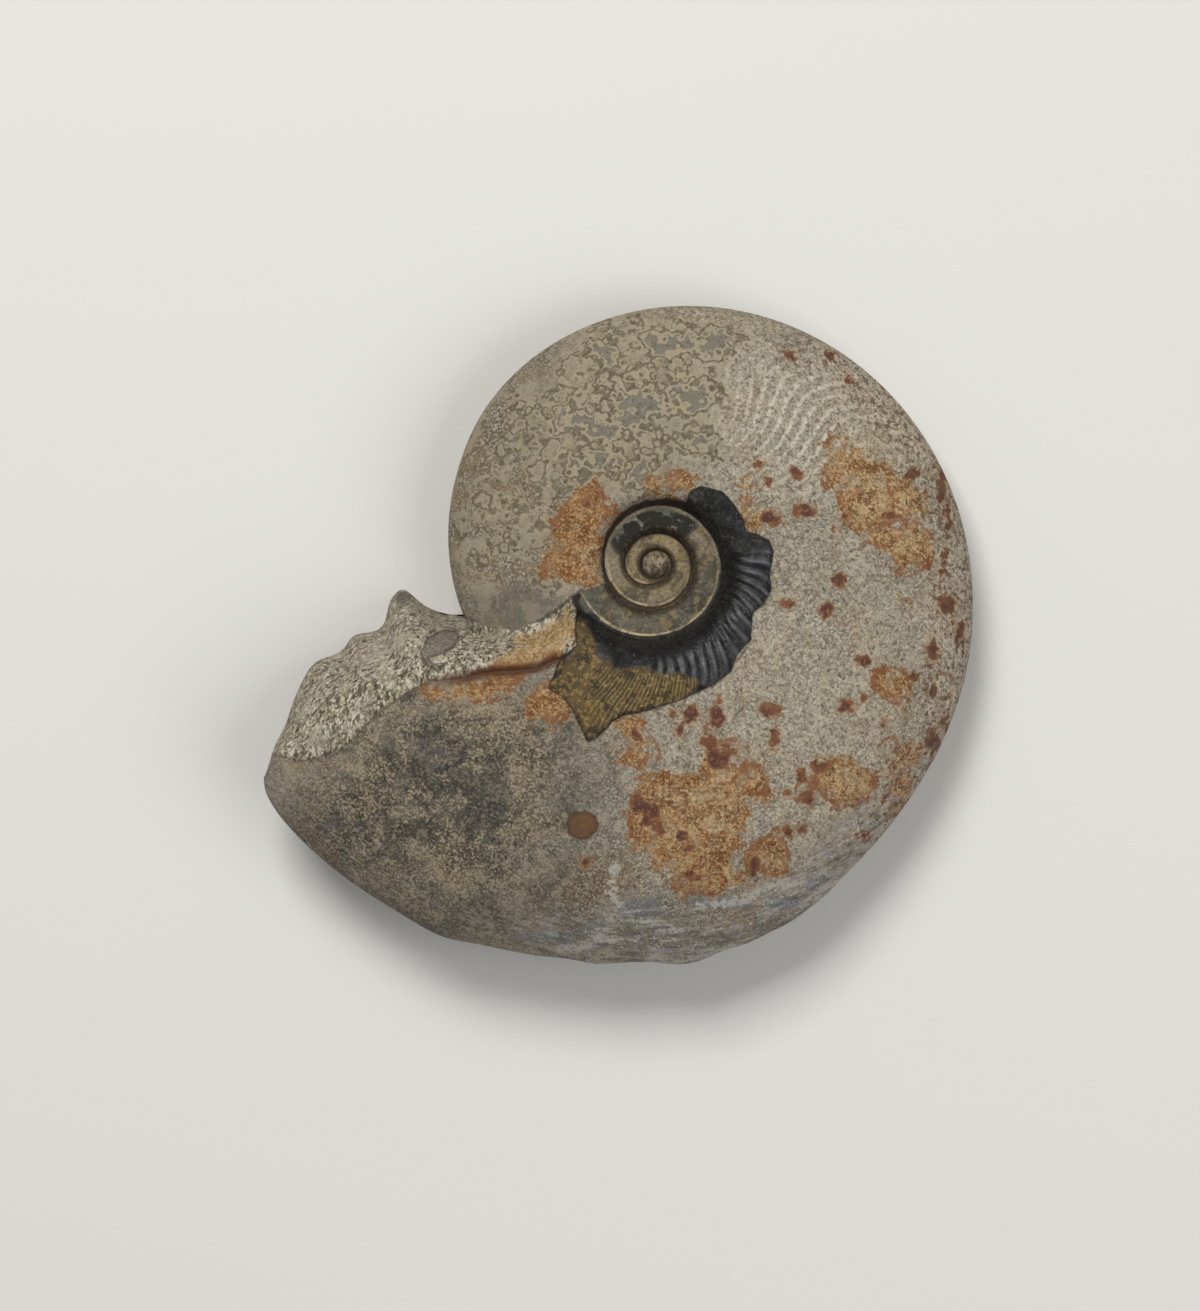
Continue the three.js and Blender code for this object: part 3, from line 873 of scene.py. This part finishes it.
# Rust: ochre fields with browner heart and edges.
edge = ragged("stain", 4.0, "rust")
edge = node("Math", noise["rust patch"], 5.0, edge, operation="MULTIPLY_ADD")
stain_edge = node("Math", edge, -4.5, operation="ADD")
stained = fade(stain_edge, -0.9, 1.0)
stained = fade(noise["rust patch"], 0.36, 0.54, 0.35, 1, stained)
colour = coat(colour, stained, 0, 1, 0.74, "a98348")
deep = node("Math", stained, mark["stain depth"], operation="MULTIPLY")
colour = coat(colour, deep, 0.05, 0.9, 0.6, "905922")
pale = ragged("pale heart", 5.0, "rust patch")
colour = coat(colour, pale, 2.1, 3.4, 0.7, "b9a079", stained)
colour = coats(
    colour, stained,
    ("blotch", 0.47, 0.38, 0.6, "b39a70"), ("patch", 0.5, 0.58, 0.4, "a0682f"),
    ("rust", 0.48, 0.56, 0.75, "754b24"), ("speck", 0.54, 0.6, 0.85, "4a2f1a"),
    ("blotch", 0.53, 0.58, 0.6, "7a4a20"), ("rust patch", 0.54, 0.6, 0.6, "5f3a1e"),
    ("grain", 0.58, 0.68, 0.5, "c4b08c"), ("salt", 0.6, 0.68, 0.45, "c2aa82"),
    ("pepper", 0.6, 0.68, 0.5, "593b20"),
)
rim_part = fade(noise["patch"], 0.46, 0.56)
colour = coat(colour, off_level(stain_edge, 0), 0.5, 0.05, 0.8, "74482a", rim_part)

# Maroon spots with browner edges, and the rings round some of them.
ring = node("Math", noise["rust"], 0.9, off_level(mark["rings"], 0), operation="MULTIPLY_ADD")
ring_part = fade(noise["blotch"], 0.42, 0.54)
colour = coat(colour, ring, 0.8, 0.5, 0.85, "7c5031", ring_part)
spot = ragged("spots", 2.6, "blotch")
spot = node("Math", noise["rust"], 1.4, spot, operation="MULTIPLY_ADD")
spot = node("Math", spot, -2.0, operation="ADD")
colour = coat(colour, spot, -0.35, -0.05, 0.45, "8d6c48")
colour = coat(colour, spot, -0.03, 0.08, 0.92, "70472f")
heart = fade(noise["rust patch"], 0.44, 0.54, 0.3, 1)
colour = coat(colour, spot, 0.1, 0.3, 0.85, "4b302b", heart)
blob = ragged("blob", 0.8, "blotch")
blob_heart = fade(noise["rust"], 0.35, 0.55, 1, 0.4)
colour = coat(colour, blob, 0.35, 0.5, 0.85, "4c3324")
colour = coat(colour, blob, 0.6, 0.95, 0.85, "71502f", blob_heart)
in_spot = fade(spot, 0, 0.2)
colour = coats(colour, in_spot, ("rust", 0.53, 0.6, 0.55, "93673f"))
colour = coats(colour, mark["mottles"], ("rust", 0.53, 0.58, 0.8, "544130"))

# The low rim: blue-grey patches, and white crust in lines and streaks.
blue = ragged("blue", 3.0, "patch")
colour = coat(colour, blue, 1.1, 1.9, 0.65, "67696a")
crust = node("Math", mark["crust"], -1, operation="MULTIPLY")
crust = node("Math", noise["rust"], 4.6, crust, operation="MULTIPLY_ADD")
colour = coat(colour, crust, 1.6, 2.3, 0.6, "b9b5ac")
colour = coats(
    colour, mark["low rim"],
    ("streak", 0.52, 0.62, 0.6, "aea79b"), ("blotch", 0.54, 0.62, 0.5, "8f8894"),
    ("grain", 0.58, 0.66, 0.5, "cfcbc3"), ("streak", 0.46, 0.38, 0.6, "534e47"),
    ("rust", 0.56, 0.64, 0.6, "453f36"),
)

# The broken mouth: sandy grains in faint upright streaks, stained gold above the crease.
FACE_GRAIN = 0.27
FACE_NOISE = 0.55
face_place = node("Mapping", place, None, (0, 0, 0.3), (1, 0.6, 1))
face_grain = node("TexVoronoi", face_place, None, 1 / FACE_GRAIN, out="Color")
noise["face grain"] = node("SeparateColor", face_grain)
noise["face salt"] = noise["face grain"].node.outputs[1]
noise["face"] = node("TexNoise", face_place, None, 1 / FACE_NOISE, 4, 0.7)
face = coats(
    colour, 1.0,
    ("face grain", -1, -0.5, 1, "a1967b"), ("face grain", 0.42, 0.32, 0.8, "5c5344"),
    ("face salt", 0.58, 0.64, 0.85, "cfc6b1"), ("face", 0.52, 0.58, 0.85, "443c30"),
    ("speck", 0.56, 0.62, 0.8, "372f24"), ("blotch", 0.5, 0.6, 0.35, "6a6050"),
    ("patch", 0.5, 0.65, 0.45, "b3aa95"),
)
golden = fade(ragged("gold stain", 4.5, "rust patch"), 1.5, 3.1)
face = coat(face, golden, 0, 1, 0.6, "a8854e")
face = coats(face, golden, ("rust", 0.48, 0.6, 0.7, "86602f"), ("face grain", 0.6, 0.7, 0.5, "c6ad80"))
face = coat(face, mark["crease"], 1.6, 0.3, 0.75, "7b4f28", golden)
inclusion = ragged("inclusion", 0.5, "blotch")
face = coat(face, inclusion, 0.02, 0.12, 0.75, "453e35")
face = coat(face, inclusion, 0.28, 0.4, 0.85, "80766a")
inside = fade(inclusion, 0.28, 0.4)
face = coats(face, inside, ("speck", 0.5, 0.58, 0.7, "5c5248"), ("grain", 0.52, 0.6, 0.6, "a3998a"))
tip = ragged("dark tip", 1.4, "blotch")
face = coat(face, tip, 0.5, 1.2, 0.7, "4a4b49")
edge = ragged("mouth", 0.9, "rust")
in_mouth = fade(edge, 0.36, 0.54)
colour = node("MixRGB", in_mouth, colour, face)
# Along the crease: a soft dark line that is painted shade in its groove, and rust on its right part.
crease = ragged("crease", 0.8, "rust")
colour = coat(colour, crease, 0.95, 0.35, 0.35, "54473a")
colour = coat(colour, crease, 1.35, 0.6, 0.9, "54321f", mark["crease rust"])
colour = coat(colour, off_level(edge, 0.45), 0.3, 0.1, 0.75, "3a3833", mark["crack"])

# The umbilical wall, and the walls of the inner whorls. Their dark brown is partly stain and partly painted
# shade in these steep recesses.
wall = ragged("wall", 0.7, "blotch")
colour = coat(colour, wall, 0.25, 0.6, 1, "2e251e")
on_wall = fade(wall, 0.3, 0.6)
colour = coats(colour, on_wall, ("blotch", 0.4, 0.6, 0.6, "46352b"))
colour = coats(
    colour, mark["rings of whorls"],
    ("rust patch", 0.47, 0.56, 0.7, "3c3729"), ("blotch", 0.54, 0.6, 0.5, "8f7c55"),
)
black = ragged("black ring", 2.0, "patch")
colour = coat(colour, black, 1.3, 1.6, 0.95, "1d1c18", mark["black ring"])
grey_green = fade(black, 1.3, 1.6, 0, 1, mark["black ring"])
colour = coats(
    colour, grey_green,
    ("rust patch", 0.53, 0.58, 0.75, "66655a"), ("blotch", 0.56, 0.62, 0.6, "8d897a"),
)
# The inner whorls' walls: dark brown, partly stain and partly painted shade.
colour = coat(colour, mark["ring wall"], 0, 1, 0.85, "2e261d")
colour = coats(colour, mark["ring wall"], ("speck", 0.5, 0.62, 0.5, "6a5c45"))

# The black shell. Its pleat crests get painted glints of bluish grey, and the hollows between them get
# painted shade.
glint = fade(noise["patch"], 0.38, 0.56, 0.25, 1)
shell = coats(colour, 1.0, ("salt", -1, -0.5, 1, "1a1918"), ("blotch", 0.45, 0.65, 0.6, "2e2d2c"))
shell = coat(shell, mark["pleats"], 0.1, 0.9, 0.6, "56585c", glint)
shell = coat(shell, mark["pleats"], -0.2, -0.9, 0.5, "121110")
shell = coats(shell, 1.0, ("grain", 0.62, 0.72, 0.5, "77746c"))
shell = coats(shell, mark["rough shell"], ("speck", 0.5, 0.62, 0.6, "46443f"))

# The shell's gold-brown stretch, with fine growth lines.
growth = node("Math", noise["blotch"], 5.0, operation="MULTIPLY")
growth = node("Math", mark["flank angle"], 3.36, growth, operation="MULTIPLY_ADD")
growth = node("Math", growth, operation="SINE")
gold = coats(
    colour, 1.0,
    ("salt", -1, -0.5, 1, "5c4724"), ("patch", 0.42, 0.56, 0.75, "463c26"),
    ("rust", 0.52, 0.62, 0.7, "8f7440"),
)
gold = coat(gold, growth, 0.2, 0.95, 0.5, "86744a", mark["striated"])
gold = coat(gold, growth, -0.2, -0.9, 0.6, "352f21", mark["striated"])
gold = coats(gold, 1.0, ("blotch", 0.53, 0.6, 0.8, "2a2318"), ("speck", 0.57, 0.65, 0.5, "a78d57"))
golden_shell = fade(ragged("gold", 4.0, "rust patch"), 1.5, 2.4)
shell = node("MixRGB", golden_shell, shell, gold)
edge = ragged("shell", 0.3, "blotch")
on_shell = fade(edge, 0.08, 0.22)
colour = node("MixRGB", on_shell, colour, shell)
# A dark line along the shell's ragged edge: a thin crack, and painted shade under its ledge.
colour = coat(colour, off_level(edge, 0.15), 0.14, 0.03, 0.75, "211a13")
corner = ragged("grey corner", 1.4, "blotch")
colour = coat(colour, corner, 0.6, 1.2, 0.9, "5b5a4f")
corner = fade(corner, 0.6, 1.2)
colour = coats(colour, corner, ("rust", 0.52, 0.6, 0.7, "343630"))

# The button in the middle: a small dark ring and pits.
RING_RADIUS = 0.42
button_ring = np.add(photo_mm(*BUTTON_RING), COIL_AXIS)
from_above = node("Mapping", place, None, None, (1, 1, 0))
far = node("VectorMath", from_above, (*button_ring, 0), operation="DISTANCE", out="Value")
colour = coat(colour, off_level(far, RING_RADIUS), 0.16, 0.06, 0.75, "3d3022")
far = node("VectorMath", from_above, (*COIL_AXIS, 0), operation="DISTANCE", out="Value")
pits = fade(far, 1.7, 1.5)
colour = coats(colour, pits, ("speck", 0.53, 0.6, 0.8, "40331f"))
# A dark line round the button's edge, where it meets the whorl round it: dirt and painted shade in that
# crease.
colour = coat(colour, off_level(far, NUCLEUS_RADIUS), 0.22, 0.08, 0.6, "3a2f22")

# The thin cream lip where each inner whorl's wall was.
lip = fade(noise["blotch"], 0.42, 0.54, 0.3, 1, mark["lip strength"])
colour = coat(colour, off_level(mark["lip"], 0.1), 0.18, 0.07, 1, "b5a27a", lip)
tree.links.new(colour, stone_shader.inputs["Base Color"])

# The shell is glossier than the bare stone, and least so where it is rough.
STONE_ROUGHNESS = 0.82
dull = fade(noise["blotch"], 0.35, 0.65, 0.34, 0.5)
dull = node("Mix", golden_shell, None, dull, 0.7)
dull = node("Mix", mark["rough shell"], None, dull, 0.75)
dull = node("Mix", on_shell, None, STONE_ROUGHNESS, dull)
tree.links.new(dull, stone_shader.inputs["Roughness"])
stone_shader.inputs["Specular IOR Level"].default_value = 0.28

# The fine relief: what is raised, how many millimetres, and where.
in_mouth = fade(mark["mouth"], -0.1, 0.2)
striated = node("Math", golden_shell, on_shell, operation="MULTIPLY")
striated = node("Math", striated, mark["striated"], operation="MULTIPLY")
bare = node("Math", on_shell, -0.85, 1.0, operation="MULTIPLY_ADD")
rough = node("Math", rough, bare, operation="MULTIPLY")
raised = 0.0
for field, rise, where in (
    (noise["grain"], 0.13, rough), (noise["blotch"], 0.2, rough), (noise["salt"], 0.05, mark["chamber"]),
    (noise["face"], 0.4, in_mouth), (rib, 0.05, mark["ribs"]), (growth, 0.03, striated),
    (noise["patch"], 0.25, 1.0),
):
    part = node("Math", field, where, operation="MULTIPLY")
    raised = node("Math", part, rise, raised, operation="MULTIPLY_ADD")
bump = node("Bump", 0.8, MM, None, raised)
tree.links.new(bump, stone_shader.inputs["Normal"])
stone.data.materials.append(limestone)
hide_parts("ammonite")
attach(stone, "root")

# The studio: a plain pale table, one large soft light above and to the upper left, and a camera that
# looks straight down with a long lens.
FLOOR_SIZE = 3000
PHOTO_MIDDLE = (600, 655.5)
PHOTO_HEIGHT = 1311
LENS = 150
SENSOR = 36
KEEL_LEVEL = 10
table = bmesh.new()
bmesh.ops.create_grid(table, x_segments=1, y_segments=1, size=FLOOR_SIZE / 2 * MM)
floor = placed("table", table)
card = bpy.data.materials.new("pale matte card")
card.use_nodes = True
card.node_tree.nodes["Principled BSDF"].inputs["Base Color"].default_value = linear("dedbd5")
card.node_tree.nodes["Principled BSDF"].inputs["Roughness"].default_value = 0.9
floor.data.materials.append(card)


def soft_light(name, place, width, watts):
    lamp = bpy.data.lights.new(name, "AREA")
    lamp.size = width * MM
    lamp.energy = watts
    light = bpy.data.objects.new(name, lamp)
    light.location = Vector(place) * MM
    light.rotation_euler = (-light.location).to_track_quat("-Z", "Y").to_euler()
    scene.collection.objects.link(light)


soft_light("key light", (-190, 430, 640), 320, 4.6)
soft_light("fill light", (420, -200, 560), 520, 2)
world = bpy.data.worlds.new("studio")
world.use_nodes = True
world.node_tree.nodes["Background"].inputs["Color"].default_value = linear("e9edf2")
world.node_tree.nodes["Background"].inputs["Strength"].default_value = 0.265
scene.world = world
scene.view_settings.view_transform = "Standard"

centre = np.add(photo_mm(*PHOTO_MIDDLE), COIL_AXIS)
view = bpy.data.cameras.new("camera")
view.lens = LENS
view.sensor_width = SENSOR
view.clip_end = 10
camera = bpy.data.objects.new("camera", view)
distance = LENS / SENSOR * PHOTO_HEIGHT * PHOTO_SCALE
camera.location = Vector((*centre, KEEL_LEVEL + distance)) * MM
scene.collection.objects.link(camera)
scene.camera = camera

low, high = cad_box
